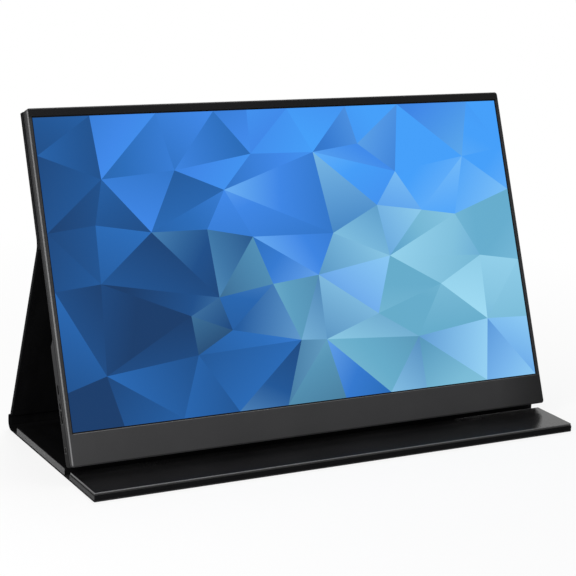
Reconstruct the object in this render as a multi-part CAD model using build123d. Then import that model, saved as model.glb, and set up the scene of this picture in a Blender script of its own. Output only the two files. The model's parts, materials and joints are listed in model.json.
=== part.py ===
from build123d import *
import os
from math import cos, radians, sin, sqrt

# Portable monitor that leans on its own folding leather cover.
# Sizes are in millimetres. X runs to the right along the screen, -Y is the front and Z is up.
# The table is at Z = 0 and the origin is the middle of the footprint.
#
# The monitor is drawn upright and then tilted: X across, Y back from the front face, and
# Z up from the lower edge of the picture. The rear leg of the stand is drawn the same way
# on its lower hinge.

# Picture and monitor casing
screen_width = 344.2
screen_height = 193.6
side_bezel = 3.4
top_bezel = 5.9
chin_height = 20.7
corner_radius = 2.0
edge_thickness = 7.2
hump_thickness = 11.5
hump_top = 58.0
hump_ramp = 4.0
front_chamfer = 0.8
back_rounding = 1.6
frame_depth = 4.2
groove_width = 0.6
groove_depth = 0.5
frame_wall = 1.3
shell_wall = 1.2
lip_thickness = 0.9
window_reveal = 0.8

# Display stack, from the front
film_thickness = 0.2
film_overlap = 0.6
cell_thickness = 1.0
cell_margin = 1.6
cell_ledge = 6.0
optics_thickness = 0.4
optics_margin = 0.9
guide_thickness = 0.8
reflector_thickness = 0.2
tray_thickness = 0.4
tray_gap = 0.1
led_strip_height = 1.8
led_pitch = 9.5
led_length = 3.0
driver_board_inset = 22.0
driver_board_height = 7.6
driver_board_thickness = 0.8
flex_thickness = 0.15
flex_width = 26.0
flex_places = (-0.64, 0.0, 0.64)

# Boards, ports and controls in the hump
board_thickness = 1.0
board_standoff = 0.7
board_side_gap = 0.5
main_board_length = 104.0
main_board_top = 46.0
main_board_shelf = 0.0
jack_tab_length = 22.0
side_port_board_length = 30.0
side_port_board_top = 24.0
side_port_screw_height = 2.0
usb_height = 10.1
usb_opening = (8.34, 2.56)
usb_metal = 0.35
usb_depth = 7.35
usb_tongue = (6.6, 0.7, 5.0)
hdmi_height = -5.5
hdmi_opening = (10.42, 2.42)
hdmi_tongue = (8.6, 0.7, 5.0)
port_gap = 0.15
jack_height = -10.0
jack_bore_radius = 1.8
jack_bore_length = 11.0
jack_body = (13.5, 4.2, 6.0)
jack_nose_radius = 2.15
button_row_depth = 7.6
button_height = 17.0
button_cap = (3.4, 1.6)
button_travel = 0.5
button_clearance = 0.2
button_recess = 0.1
rocker_height = 26.9
rocker_cap = (5.6, 1.6)
rocker_pin_radius = 0.5
rocker_pin_inset = 2.6
rocker_hub_radius = 1.1
rocker_lug = 0.6
light_height = 20.9
light_radius = 0.6
button_board_inset = 7.0
button_board_thickness = 0.8
switch_size = (1.6, 2.4, 1.9)
processor_size = (14.0, 1.2)
processor_place = (42.0, 22.0)
spreader_size = (42.0, 1.0, 30.0)
speaker_size = (46.0, 4.6, 15.0)
speaker_mouth_inset = 8.0
speaker_cone_radius = 5.5
speaker_place = 0.672
lead_radius = 0.4
lead_inset = 9.0
lead_overlap = 1.0
lead_pitch = 1.6
grille_slots = 8
grille_slot_width = 1.4
grille_pitch = 2.8
steel_strip = (4.0, 0.4)
steel_strip_gap = 5.0
cover_plate_thickness = 0.5
cover_plate_inset = 22.0
cover_plate_edge = 10.0
cable_thickness = 0.2
display_cable_width = 22.0
display_cable_edge = 7.0
link_cable_width = 9.0
link_cable_overlap = 8.0
link_cable_height = 12.0
foot_size = (8.0, 1.5, 3.0)
foot_height = 12.5
foot_inset = 1.0

# Small screws
case_screw_places = (-0.885, -0.43, 0.0, 0.43, 0.885)
case_screw_height = 4.2
case_post_radius = 2.1
case_post_joint = 6.4
screw_radius = 0.75
screw_head_radius = 1.5
screw_head_height = 0.8
screw_hole_clearance = 0.05
board_screw_length = 3.6
board_screw_inset = 4.0
standoff_radius = 2.0

# Stand geometry
tilt_angle = 22.0
edge_clearance = 0.7
leg_lean = 19.8
back_fold_height = 116.5
back_panel_inset = 0.4
flap_reach = 40.5
gap_width = 8.0
gap_behind_edge = 3.0
rear_board_setback = 13.0

# Leather cover
cover_inset = 0.3
skin_thickness = 1.0
fold_clearance = 0.35
fold_gap = 3.0
floor_board_thickness = 3.7
floor_lining_thickness = 0.8
flap_board_thickness = 2.9
flap_pad_thickness = 1.6
flap_pad_inset = 0.5
flap_corner_radius = 1.8
leg_board_thickness = 1.5
leg_lining_thickness = 0.4
panel_pad_thickness = 0.8
panel_board_thickness = 3.3
spine_radius = 3.85
spine_rise = 3.5
spine_clearance = 0.3
spine_board_thickness = 1.8
board_edge_rounding = 0.4
magnet_size = (36.0, 8.0, 1.6)
magnet_places = (-0.74, -0.26, 0.26, 0.74)
magnet_edge_gap = 4.0
magnet_clearance = 0.1
panel_magnet_size = (40.0, 1.2, 10.0)
panel_magnet_places = (-0.68, 0.0, 0.68)

# Sizes that follow from those above
monitor_width = screen_width + 2 * side_bezel
monitor_side = monitor_width / 2
monitor_low = -chin_height
monitor_high = screen_height + top_bezel
cover_width = monitor_width - 2 * cover_inset
speaker_x = speaker_place * monitor_side
film_front = lip_thickness
cell_front = film_front + film_thickness
optics_front = cell_front + cell_thickness
guide_front = optics_front + optics_thickness
reflector_front = guide_front + guide_thickness
tray_front = reflector_front + reflector_thickness
tray_back = tray_front + tray_thickness
shell_floor = hump_thickness - shell_wall
board_front = frame_depth + board_standoff
board_back = board_front + board_thickness
board_side = monitor_side - frame_wall - board_side_gap
board_low = jack_height - jack_body[2] / 2 - 0.8
panel_skin_front = edge_thickness + panel_pad_thickness + panel_board_thickness
fold_depth = panel_skin_front + skin_thickness / 2
floor_top = skin_thickness + floor_board_thickness + floor_lining_thickness
usb_outer = (usb_opening[0] + 2 * usb_metal, usb_opening[1] + 2 * usb_metal)
hdmi_outer = (hdmi_opening[0] + 2 * usb_metal, hdmi_opening[1] + 2 * usb_metal)
usb_depth_centre = board_back + usb_outer[1] / 2
hdmi_depth_centre = board_back + hdmi_outer[1] / 2
jack_depth_centre = board_back + jack_body[1] / 2

# Side view of the stand, with y measured from the picture's lower edge
tilt = radians(tilt_angle)
screen_z = floor_top + edge_clearance + chin_height * cos(tilt) + hump_thickness * sin(tilt)
edge_y = -chin_height * sin(tilt) + hump_thickness * cos(tilt)
fold_y = back_fold_height * sin(tilt) + fold_depth * cos(tilt)
fold_z = screen_z + back_fold_height * cos(tilt) - fold_depth * sin(tilt)
spine_low = spine_radius
leg_axis_z = spine_low + spine_rise
leg_length = (fold_z - leg_axis_z) / cos(radians(leg_lean))
spine_offset = fold_y + leg_length * sin(radians(leg_lean))

# The same in the part's own frame, whose origin is the middle of the footprint
screen_y = (flap_reach - spine_offset - spine_radius) / 2
front_y = screen_y - flap_reach
spine_y = screen_y + spine_offset
groove_back = screen_y + edge_y + gap_behind_edge
groove_front = groove_back - gap_width
flap_axis_y = (groove_back + groove_front) / 2
flap_axis_z = skin_thickness / 2
rear_board_end = spine_y - rear_board_setback
leg_inner = skin_thickness / 2 + leg_board_thickness + leg_lining_thickness


def block(x, y, z):
    """Box between a pair of limits on each axis."""
    sizes = [high - low for low, high in (x, y, z)]
    middle = [(low + high) / 2 for low, high in (x, y, z)]
    return Pos(*middle) * Box(*sizes)


def slab(width, low, high, front, back, radius=0.0):
    """Upright plate centred on X, with rounded corners when a radius is given."""
    place = Plane(origin=(0, back, (low + high) / 2), x_dir=(1, 0, 0), z_dir=(0, -1, 0))
    outline = RectangleRounded(width, high - low, radius) if radius else Rectangle(width, high - low)
    return extrude(place * outline, amount=back - front)


def rod_across(x, y, z, radius):
    """Round rod along X between two X limits."""
    return Pos((x[0] + x[1]) / 2, y, z) * Rot(0, 90, 0) * Cylinder(radius, x[1] - x[0])


def rod_deep(x, y, z, radius):
    """Round rod along Y between two Y limits."""
    return Pos(x, (y[0] + y[1]) / 2, z) * Rot(90, 0, 0) * Cylinder(radius, y[1] - y[0])


def rod_up(x, y, z, radius):
    """Round rod along Z between two Z limits."""
    return Pos(x, y, (z[0] + z[1]) / 2) * Cylinder(radius, z[1] - z[0])


def slot_across(x, y, z, height, thickness):
    """Bar along X whose section is a round-ended slot standing on end."""
    place = Plane(origin=(x[0], y, z), x_dir=(0, 0, 1), z_dir=(1, 0, 0))
    return extrude(place * SlotOverall(height, thickness), amount=x[1] - x[0])


def profile_bar(points, half_width):
    """Bar along X from a closed side profile of (y, z) points."""
    outline = make_face(Polyline([(-half_width, y, z) for y, z in points], close=True))
    return extrude(outline, amount=2 * half_width, dir=(1, 0, 0))


def tilted(shape):
    """Monitor part moved from its upright drawing to its place on the stand."""
    return Pos(0, screen_y, screen_z) * Rot(-tilt_angle, 0, 0) * shape


def on_leg(shape):
    """Rear leg part moved from its upright drawing to its lower hinge."""
    return Pos(0, spine_y, leg_axis_z) * Rot(leg_lean, 0, 0) * shape


def monitor_profile(wall):
    """Side profile of the casing, drawn in by a wall thickness."""
    back = edge_thickness - wall
    hump = hump_thickness - wall
    low = monitor_low + wall
    return [
        (frame_depth, low),
        (hump, low),
        (hump, hump_top - hump_ramp - wall / 2),
        (back, hump_top - wall / 2),
        (back, monitor_high - wall),
        (frame_depth, monitor_high - wall),
    ]


def case_posts(front, back, radius):
    """Row of round posts along the chin, for the case screws."""
    height = monitor_low + case_screw_height
    return [rod_deep(share * monitor_side, (front, back), height, radius) for share in case_screw_places]


def board_posts(front, back, radius):
    """Posts under the corners of both boards."""
    left = -board_side + board_screw_inset
    right = board_side - board_screw_inset
    main_top = main_board_top - board_screw_inset
    port_top = side_port_board_top - board_screw_inset
    port_low = side_port_screw_height
    places = [
        (left, main_top),
        (left + main_board_length - 2 * board_screw_inset, main_top),
        (left + main_board_length - 2 * board_screw_inset, main_board_shelf + board_screw_inset),
        (right - side_port_board_length + 2 * board_screw_inset, port_top),
        (right - side_port_board_length + 2 * board_screw_inset, port_low),
    ]
    return [rod_deep(x, (front, back), z, radius) for x, z in places]


def front_frame():
    """Bezel and chin in one moulding, with walls that reach back to the rear shell."""
    body = slab(monitor_width, monitor_low, monitor_high, 0, frame_depth, corner_radius)
    front_face = body.faces().sort_by(Axis.Y)[0]
    body = chamfer(front_face.outer_wire().edges(), front_chamfer)
    window_width = screen_width + 2 * window_reveal
    window = slab(window_width, -window_reveal, screen_height + window_reveal, -1, frame_depth)
    inner_width = monitor_width - 2 * frame_wall
    inner_radius = corner_radius - frame_wall
    hollow = slab(
        inner_width,
        monitor_low + frame_wall,
        monitor_high - frame_wall,
        lip_thickness,
        frame_depth + 1,
        inner_radius,
    )
    body = body - window - hollow
    body = body + case_posts(lip_thickness, case_post_joint, case_post_radius)
    pilot = screw_radius + screw_hole_clearance
    return body - case_posts(lip_thickness + 1, case_post_joint + 1, pilot)


def rear_shell():
    """Thin back of the casing with the thicker hump that holds the boards and ports."""
    body = profile_bar(monitor_profile(0), monitor_side)
    body = body & slab(monitor_width, monitor_low, monitor_high, frame_depth, hump_thickness, corner_radius)
    rear_edges = body.edges().filter_by(
        lambda edge: edge.center().Y > frame_depth + 0.1 and on_outline(edge)
    )
    body = fillet(rear_edges, back_rounding)
    body = body - profile_bar(monitor_profile(shell_wall), monitor_side - frame_wall)
    body = body - shadow_groove()
    body = body + case_posts(case_post_joint, shell_floor, case_post_radius)
    body = body + board_posts(board_back, shell_floor, standoff_radius)
    body = body + rocker_lugs()
    hole = screw_radius + screw_hole_clearance
    body = body - case_posts(frame_depth, hump_thickness + 1, hole)
    head_seat = hump_thickness - screw_head_height - 0.2
    head_hole = screw_head_radius + screw_hole_clearance
    body = body - case_posts(head_seat, hump_thickness + 1, head_hole)
    body = body - board_posts(board_front, shell_floor - 0.4, hole)
    return body - side_cutouts() - speaker_slots()


def on_outline(edge):
    """True for edges on the outer rim of the casing, seen from behind."""
    centre = edge.center()
    near_side = abs(centre.X) > monitor_side - corner_radius
    near_end = centre.Z > monitor_high - corner_radius or centre.Z < monitor_low + corner_radius
    straight_back = abs(edge.bounding_box().size.Y) < 0.01
    ramp = near_side and hump_top - hump_ramp < centre.Z < hump_top
    return (near_side or near_end) and (straight_back or ramp)


def shadow_groove():
    """Narrow step round the casing where the shell meets the frame."""
    ring = slab(monitor_width + 1, monitor_low - 1, monitor_high + 1, frame_depth, frame_depth + groove_width)
    core = slab(
        monitor_width - 2 * groove_depth,
        monitor_low + groove_depth,
        monitor_high - groove_depth,
        frame_depth - 1,
        frame_depth + groove_width + 1,
        corner_radius - groove_depth,
    )
    return ring - core


def rocker_lugs():
    """Two ears behind the left wall that hold the rocker's pin."""
    hub_side = rocker_cap[1] / 2 + button_clearance
    wall = -monitor_side + frame_wall - 0.2
    reach = -monitor_side + rocker_pin_inset + rocker_hub_radius
    ears = []
    for side in (-1, 1):
        near = button_row_depth + side * hub_side
        far = button_row_depth + side * (hub_side + rocker_lug)
        ear = block(
            (wall, reach),
            sorted((near, far)),
            (rocker_height - rocker_hub_radius, rocker_height + rocker_hub_radius),
        )
        pin_hole = rod_deep(
            -monitor_side + rocker_pin_inset,
            (button_row_depth - 4, button_row_depth + 4),
            rocker_height,
            rocker_pin_radius + 0.02,
        )
        ears.append(ear - pin_hole)
    return ears


def side_cutouts():
    """Openings in both side walls for ports, controls and the status light."""
    left = (-monitor_side - 1, -monitor_side + frame_wall + 0.05)
    right = (monitor_side - frame_wall - 0.05, monitor_side + 1)
    usb = (usb_outer[0] + 2 * port_gap, usb_outer[1] + 2 * port_gap)
    hdmi = (hdmi_outer[0] + 2 * port_gap, hdmi_outer[1] + 2 * port_gap)
    button = (button_cap[0] + 2 * button_clearance, button_cap[1] + 2 * button_clearance)
    rocker = (rocker_cap[0] + 2 * button_clearance, rocker_cap[1] + 2 * button_clearance)
    return [
        slot_across(left, usb_depth_centre, usb_height, *usb),
        slot_across(right, usb_depth_centre, usb_height, *usb),
        slot_across(right, hdmi_depth_centre, hdmi_height, *hdmi),
        rod_across(left, jack_depth_centre, jack_height, jack_nose_radius + port_gap),
        slot_across(left, button_row_depth, button_height, *button),
        slot_across(left, button_row_depth, rocker_height, *rocker),
        rod_across(left, button_row_depth, light_height, light_radius + 0.05),
    ]


def speaker_slots():
    """Short slots through the lower wall under each speaker."""
    slots = []
    middle = (frame_depth + hump_thickness) / 2
    for side in (-1, 1):
        for count in range(grille_slots):
            x = side * speaker_x + (count - (grille_slots - 1) / 2) * grille_pitch
            place = Plane(origin=(x, middle, monitor_low - 1), x_dir=(0, 1, 0), z_dir=(0, 0, 1))
            slots.append(extrude(place * SlotOverall(4.0, grille_slot_width), amount=shell_wall + 1.5))
    return slots


def screen_film():
    """Front sheet that shows the picture through the window of the frame."""
    reach = window_reveal + film_overlap
    width = screen_width + 2 * reach
    return slab(width, -reach, screen_height + reach, film_front, cell_front)


def lcd_cell():
    """Glass panel with a ledge below for its flexes."""
    width = screen_width + 2 * cell_margin
    return slab(width, -cell_ledge, screen_height + cell_margin, cell_front, optics_front)


def light_stack(front, back):
    """Sheet of the backlight between two depths."""
    width = screen_width + 2 * optics_margin
    return slab(width, -optics_margin, screen_height + optics_margin, front, back)


def led_bar():
    """Strip of lamps that lights the lower edge of the light guide."""
    top = -optics_margin - tray_gap
    low = top - led_strip_height
    back = reflector_front
    strip = slab(screen_width, low, top, back - cable_thickness, back)
    led_count = round(screen_width / led_pitch)
    lamps = []
    for count in range(led_count):
        x = (count + 0.5 - led_count / 2) * screen_width / led_count
        lamp_x = (x - led_length / 2, x + led_length / 2)
        lamps.append(block(lamp_x, (guide_front, back - cable_thickness), (low + 0.4, top)))
    return strip + lamps


def panel_tray():
    """Metal tray behind the backlight, folded forward at its edges to carry the glass."""
    side = screen_width / 2 + optics_margin + tray_gap + tray_thickness
    low = -optics_margin - 2 * tray_gap - led_strip_height - tray_thickness
    high = screen_height + optics_margin + tray_gap + tray_thickness
    body = block((-side, side), (optics_front, tray_back), (low, high))
    inner_side = side - tray_thickness
    hollow = block(
        (-inner_side, inner_side),
        (optics_front - 1, tray_front),
        (low + tray_thickness, high - tray_thickness),
    )
    return body - hollow


def driver_board():
    """Narrow board of the display, behind the chin."""
    front = optics_front + flex_thickness
    high = -cell_ledge - 0.5
    length = screen_width - 2 * driver_board_inset
    return slab(length, high - driver_board_height, high, front, front + driver_board_thickness)


def panel_flexes():
    """Flexible tabs from the ledge of the glass to the driver board."""
    low = -cell_ledge - 3.0
    high = -optics_margin - 2 * tray_gap - led_strip_height - tray_thickness - tray_gap
    depth = (optics_front, optics_front + flex_thickness)
    middles = [share * screen_width / 2 for share in flex_places]
    return [block((x - flex_width / 2, x + flex_width / 2), depth, (low, high)) for x in middles]


def main_board():
    """Board with the inputs, controls and picture electronics, behind the left of the screen."""
    left = -board_side
    body = block(
        (left, left + main_board_length), (board_front, board_back), (main_board_shelf, main_board_top)
    )
    tab = block((left, left + jack_tab_length), (board_front, board_back), (board_low, main_board_shelf))
    hole = screw_radius + screw_hole_clearance
    return body + tab - board_posts(board_front - 1, board_back + 1, hole)


def side_port_board():
    """Small board for the two ports on the right side."""
    right = board_side
    body = block(
        (right - side_port_board_length, right),
        (board_front, board_back),
        (board_low, side_port_board_top),
    )
    hole = screw_radius + screw_hole_clearance
    return body - board_posts(board_front - 1, board_back + 1, hole)


def socket(side, height, outer, opening, tongue):
    """Metal port shell with its contact tongue, open towards one side of the casing."""
    mouth = -monitor_side + button_recess
    end = mouth + usb_depth
    depth = board_back + outer[1] / 2
    shell = slot_across((mouth, end), depth, height, *outer)
    inside = slot_across((mouth - 1, end - 1), depth, height, *opening)
    blade = block(
        (end - 1 - tongue[2], end - 0.5),
        (depth - tongue[1] / 2, depth + tongue[1] / 2),
        (height - tongue[0] / 2, height + tongue[0] / 2),
    )
    port = shell - inside + blade
    return port if side < 0 else mirror(port, about=Plane.YZ)


def headphone_jack():
    """Round audio socket with a square body on the main board."""
    mouth = -monitor_side
    back = mouth + frame_wall + 0.2
    nose = rod_across((mouth, back + 0.2), jack_depth_centre, jack_height, jack_nose_radius)
    half_height = jack_body[2] / 2
    body = block(
        (back, back + jack_body[0]),
        (board_back, board_back + jack_body[1]),
        (jack_height - half_height, jack_height + half_height),
    )
    bore = rod_across(
        (mouth - 1, mouth + jack_bore_length), jack_depth_centre, jack_height, jack_bore_radius
    )
    return nose + body - bore


def button_board():
    """Upright board behind the left wall, carrying the switches."""
    x = -monitor_side + button_board_inset
    top = rocker_height + rocker_cap[0] / 2 + 1.5
    low = usb_height + usb_outer[0] / 2 + 0.3
    return block((x, x + button_board_thickness), (board_back, shell_floor - 0.2), (low, top))


def control_switches():
    """Three small push switches on the button board."""
    x = -monitor_side + button_board_inset
    offset = rocker_cap[0] / 2 - switch_size[2] / 2
    heights = (button_height, rocker_height - offset, rocker_height + offset)
    depth = (button_row_depth - switch_size[1] / 2, button_row_depth + switch_size[1] / 2)
    half = switch_size[2] / 2
    return [block((x - switch_size[0], x), depth, (z - half, z + half)) for z in heights]


def status_light():
    """Clear rod that brings the light of a lamp on the button board to the left wall."""
    outer = -monitor_side + button_recess
    inner = -monitor_side + button_board_inset - 1.0
    rod = rod_across((outer, inner), button_row_depth, light_height, light_radius)
    lamp = block(
        (inner, inner + 1.0),
        (button_row_depth - 0.8, button_row_depth + 0.8),
        (light_height - 0.8, light_height + 0.8),
    )
    return [rod, lamp]


def power_button():
    """Push button with a flange behind the wall that keeps it in its slot."""
    outer = -monitor_side + button_recess
    wall = -monitor_side + frame_wall
    switch_face = -monitor_side + button_board_inset - switch_size[0]
    cap = slot_across((outer, wall + 0.8), button_row_depth, button_height, *button_cap)
    flange = slot_across(
        (wall + 0.25, wall + 0.8),
        button_row_depth,
        button_height,
        button_cap[0] + 0.8,
        button_cap[1] + 0.8,
    )
    stem = rod_across(
        (wall + 0.8, switch_face - button_travel - 0.1), button_row_depth, button_height, 0.6
    )
    return cap + flange + stem


def menu_rocker():
    """Two-way rocker that swings on a pin behind the left wall."""
    outer = -monitor_side + button_recess
    pin_x = -monitor_side + rocker_pin_inset
    cap = slot_across((outer, pin_x), button_row_depth, rocker_height, *rocker_cap)
    half_depth = rocker_cap[1] / 2
    depth = (button_row_depth - half_depth, button_row_depth + half_depth)
    hub = rod_deep(pin_x, depth, rocker_height, rocker_hub_radius)
    switch_face = -monitor_side + button_board_inset - switch_size[0]
    foot = block(
        (pin_x, switch_face - 0.25),
        depth,
        (rocker_height - rocker_cap[0] / 2 + 0.3, rocker_height + rocker_cap[0] / 2 - 0.3),
    )
    hole = rod_deep(
        pin_x, (depth[0] - 1, depth[1] + 1), rocker_height, rocker_pin_radius + screw_hole_clearance
    )
    return cap + hub + foot - hole


def rocker_pin():
    """Steel pin through the rocker and both ears of the shell."""
    reach = rocker_cap[1] / 2 + button_clearance + rocker_lug
    depth = (button_row_depth - reach, button_row_depth + reach)
    return rod_deep(-monitor_side + rocker_pin_inset, depth, rocker_height, rocker_pin_radius)


def processor_centre():
    """Place of the picture chip on the main board, as X and height."""
    return processor_place[0] - board_side + button_board_inset, processor_place[1]


def video_processor():
    """Picture chip on the main board."""
    x, z = processor_centre()
    half = processor_size[0] / 2
    return block((x - half, x + half), (board_back, board_back + processor_size[1]), (z - half, z + half))


def heat_spreader():
    """Metal plate on the picture chip."""
    x, z = processor_centre()
    front = board_back + processor_size[1]
    half_width = spreader_size[0] / 2
    half_height = spreader_size[2] / 2
    return block(
        (x - half_width, x + half_width),
        (front, front + spreader_size[1]),
        (z - half_height, z + half_height),
    )


def display_cable():
    """Flat cable folded from the driver board to the front of the main board."""
    front = optics_front + flex_thickness + driver_board_thickness
    low = -cell_ledge - 0.5 - driver_board_height + 1.0
    right = -board_side + main_board_length - display_cable_edge
    x = (right - display_cable_width, right)
    lower = block(x, (front, front + cable_thickness), (low, low + 4.0))
    riser = block(x, (front, board_front), (low, low + cable_thickness))
    upper = block(x, (board_front - cable_thickness, board_front), (low, main_board_shelf + 4.0))
    return lower + riser + upper


def link_cable():
    """Flat cable between the backs of the two boards."""
    left = -board_side + main_board_length - link_cable_overlap
    right = board_side - side_port_board_length + link_cable_overlap
    low = link_cable_height - link_cable_width / 2
    return block((left, right), (board_back, board_back + cable_thickness), (low, low + link_cable_width))


def speaker(side):
    """Flat speaker box above the slots in the lower wall."""
    x = side * speaker_x
    half = speaker_size[0] / 2
    low = monitor_low + shell_wall
    middle = shell_floor - speaker_size[1] / 2
    depth = (middle - speaker_size[1] / 2, middle + speaker_size[1] / 2)
    body = block((x - half, x + half), depth, (low, low + speaker_size[2]))
    mouth_half = half - speaker_mouth_inset
    mouth = block((x - mouth_half, x + mouth_half), (depth[0] + 0.8, depth[1] - 0.8), (low - 1, low + 1))
    cone = rod_deep(x, (depth[0] - 0.5, depth[0] + 0.2), low + speaker_size[2] / 2, speaker_cone_radius)
    return body - mouth + cone


def speaker_leads():
    """Pairs of thin wires from both speakers to the nearest board."""
    depth = board_back + lead_radius
    start = monitor_low + shell_wall + speaker_size[2]
    left_x = -speaker_x
    right_x = speaker_x + speaker_size[0] / 2 - lead_inset
    board_edge = board_side - side_port_board_length + lead_overlap
    leads = []
    for count in range(2):
        x = left_x + count * lead_pitch
        leads.append(rod_up(x, depth, (start, main_board_shelf + 3.0), lead_radius))
        x = right_x + count * lead_pitch
        top = start + 5.0 - count * lead_pitch
        bend = Pos(x, depth, top) * Sphere(lead_radius)
        run = rod_across((x, board_edge), depth, top, lead_radius)
        leads.append(rod_up(x, depth, (start, top), lead_radius) + bend + run)
    return leads


def lower_steel_strip():
    """Steel strip inside the lower wall, which the magnets of the cover hold."""
    low = monitor_low + shell_wall
    half = speaker_x - speaker_size[0] / 2 - steel_strip_gap
    return block((-half, half), (shell_floor - steel_strip[0], shell_floor), (low, low + steel_strip[1]))


def cover_plate():
    """Thin steel plate inside the shell behind the upper panel of the cover."""
    back = edge_thickness - shell_wall
    low = back_fold_height + cover_plate_edge
    high = monitor_high - cover_plate_edge
    return slab(screen_width - 2 * cover_plate_inset, low, high, back - cover_plate_thickness, back)


def case_screws():
    """Screws through the hump into the posts of the front frame."""
    head_front = hump_thickness - screw_head_height - 0.2
    shanks = case_posts(lip_thickness + 1.5, head_front + 0.1, screw_radius)
    heads = case_posts(head_front, hump_thickness - 0.2, screw_head_radius)
    return [shank + head for shank, head in zip(shanks, heads)]


def board_screws():
    """Screws through both boards into the posts of the rear shell."""
    head_height = screw_head_height - 0.2
    shanks = board_posts(board_front - 0.1, board_front + board_screw_length, screw_radius)
    heads = board_posts(board_front - head_height, board_front, screw_head_radius)
    return [shank + head for shank, head in zip(shanks, heads)]


def hump_feet():
    """Small rubber bumpers on the back of the hump, one at each end."""
    feet = []
    for side in (-1, 1):
        middle = side * (monitor_side - foot_inset - back_rounding - foot_size[0] / 2)
        x = (middle - foot_size[0] / 2, middle + foot_size[0] / 2)
        z = (foot_height - foot_size[2] / 2, foot_height + foot_size[2] / 2)
        foot = block(x, (hump_thickness, hump_thickness + foot_size[1]), z)
        rim = foot.faces().sort_by(Axis.Y)[-1].edges()
        feet.append(fillet(rim, foot_size[1] / 3))
    return feet


def magnet_row(y_middle, z_low, clearance):
    """Row of flat magnets, or of their pockets when a clearance is given."""
    half_length = magnet_size[0] / 2 + clearance
    half_depth = magnet_size[1] / 2 + clearance
    y = (y_middle - half_depth, y_middle + half_depth)
    z = (z_low, z_low + magnet_size[2] + clearance)
    middles = [share * cover_width / 2 for share in magnet_places]
    return [block((x - half_length, x + half_length), y, z) for x in middles]


def rear_floor_skin():
    """Outer leather under the rear floor board, from the flap's fold to the spine."""
    half = cover_width / 2
    reach = sqrt((spine_radius + spine_clearance) ** 2 - (spine_radius - skin_thickness) ** 2)
    body = block((-half, half), (flap_axis_y, spine_y - reach), (0, skin_thickness))
    bead = rod_across((-half, half), flap_axis_y, flap_axis_z, skin_thickness / 2)
    return body + bead


def rear_floor_board():
    """Stiff board in the rear half of the base, with magnet pockets near the groove."""
    half = cover_width / 2
    z = (skin_thickness, skin_thickness + floor_board_thickness)
    body = block((-half, half), (groove_back, rear_board_end), z)
    pocket_y = groove_back + magnet_edge_gap + magnet_size[1] / 2
    return body - magnet_row(pocket_y, z[1] - magnet_size[2] - magnet_clearance, magnet_clearance)


def floor_magnets():
    """Magnets under the lining of the rear floor board."""
    z_low = skin_thickness + floor_board_thickness - magnet_size[2]
    return magnet_row(groove_back + magnet_edge_gap + magnet_size[1] / 2, z_low, 0)


def rear_floor_lining():
    """Soft lining on top of the rear floor board."""
    half = cover_width / 2
    z = (skin_thickness + floor_board_thickness, floor_top)
    body = block((-half, half), (groove_back, rear_board_end), z)
    rim = body.faces().sort_by(Axis.Z)[-1].edges()
    return fillet(rim, board_edge_rounding)


def round_front(body, radius):
    """Rounds the two upright edges at the front corners of a flap layer."""
    return fillet(body.edges().filter_by(Axis.Z).group_by(Axis.Y)[0], radius)


def flap_skin():
    """Outer leather under the front flap, up to its fold."""
    half = cover_width / 2
    back = flap_axis_y - skin_thickness / 2 - fold_clearance
    body = block((-half, half), (front_y, back), (0, skin_thickness))
    return round_front(body, flap_corner_radius)


def flap_board():
    """Stiff board of the front flap with magnet pockets near the groove."""
    half = cover_width / 2
    z = (skin_thickness, skin_thickness + flap_board_thickness)
    body = round_front(block((-half, half), (front_y, groove_front), z), flap_corner_radius)
    pocket_y = groove_front - magnet_edge_gap - magnet_size[1] / 2
    return body - magnet_row(pocket_y, z[1] - magnet_size[2] - magnet_clearance, magnet_clearance)


def flap_magnets():
    """Magnets under the pad of the front flap."""
    z_low = skin_thickness + flap_board_thickness - magnet_size[2]
    return magnet_row(groove_front - magnet_edge_gap - magnet_size[1] / 2, z_low, 0)


def flap_pad():
    """Lined pad on the front flap, set in from its edges."""
    half = cover_width / 2 - flap_pad_inset
    low = skin_thickness + flap_board_thickness
    body = block((-half, half), (front_y + flap_pad_inset, groove_front), (low, low + flap_pad_thickness))
    body = round_front(body, flap_corner_radius - flap_pad_inset)
    rim = body.faces().sort_by(Axis.Z)[-1].edges()
    return fillet(rim, board_edge_rounding)


def spine_bar(radius):
    """Round-ended bar between the two axes of the spine."""
    half = cover_width / 2
    middle = spine_low + spine_rise / 2
    return slot_across((-half, half), spine_y, middle, spine_rise + 2 * radius, 2 * radius)


def spine_skin():
    """Leather wrapped round the spine, closed along its inner side."""
    return spine_bar(spine_radius) - spine_bar(spine_radius - skin_thickness)


def spine_board():
    """Stiff strip against the outer wall of the spine."""
    inner = spine_radius - skin_thickness
    outer_face = spine_y + inner - 0.25
    overrun = 1.0
    half = cover_width / 2
    return block(
        (-half, half),
        (outer_face - spine_board_thickness, outer_face),
        (spine_low - overrun, leg_axis_z + overrun),
    )


def leg_foot():
    """Height of the rear leg's lower edge above its hinge, clear of the round spine."""
    return spine_radius + spine_clearance + 0.05


def leg_skin():
    """Outer leather of the rear leg, with a bead on the upper fold."""
    half = cover_width / 2
    reach = skin_thickness / 2
    body = block((-half, half), (-reach, reach), (leg_foot(), leg_length))
    return body + rod_across((-half, half), 0, leg_length, reach)


def leg_board():
    """Stiff board of the rear leg."""
    half = cover_width / 2
    back = -skin_thickness / 2
    return block((-half, half), (back - leg_board_thickness, back), (leg_foot(), leg_length - fold_gap))


def leg_lining():
    """Soft lining on the front of the rear leg."""
    half = cover_width / 2
    back = -skin_thickness / 2 - leg_board_thickness
    return block((-half, half), (back - leg_lining_thickness, back), (leg_foot(), leg_length - fold_gap))


def panel_sheet(front, back, low_gap):
    """Sheet of the cover's upper panel on the back of the monitor."""
    high = monitor_high - back_panel_inset
    return slab(cover_width, back_fold_height + low_gap, high, front, back, corner_radius / 2)


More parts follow.
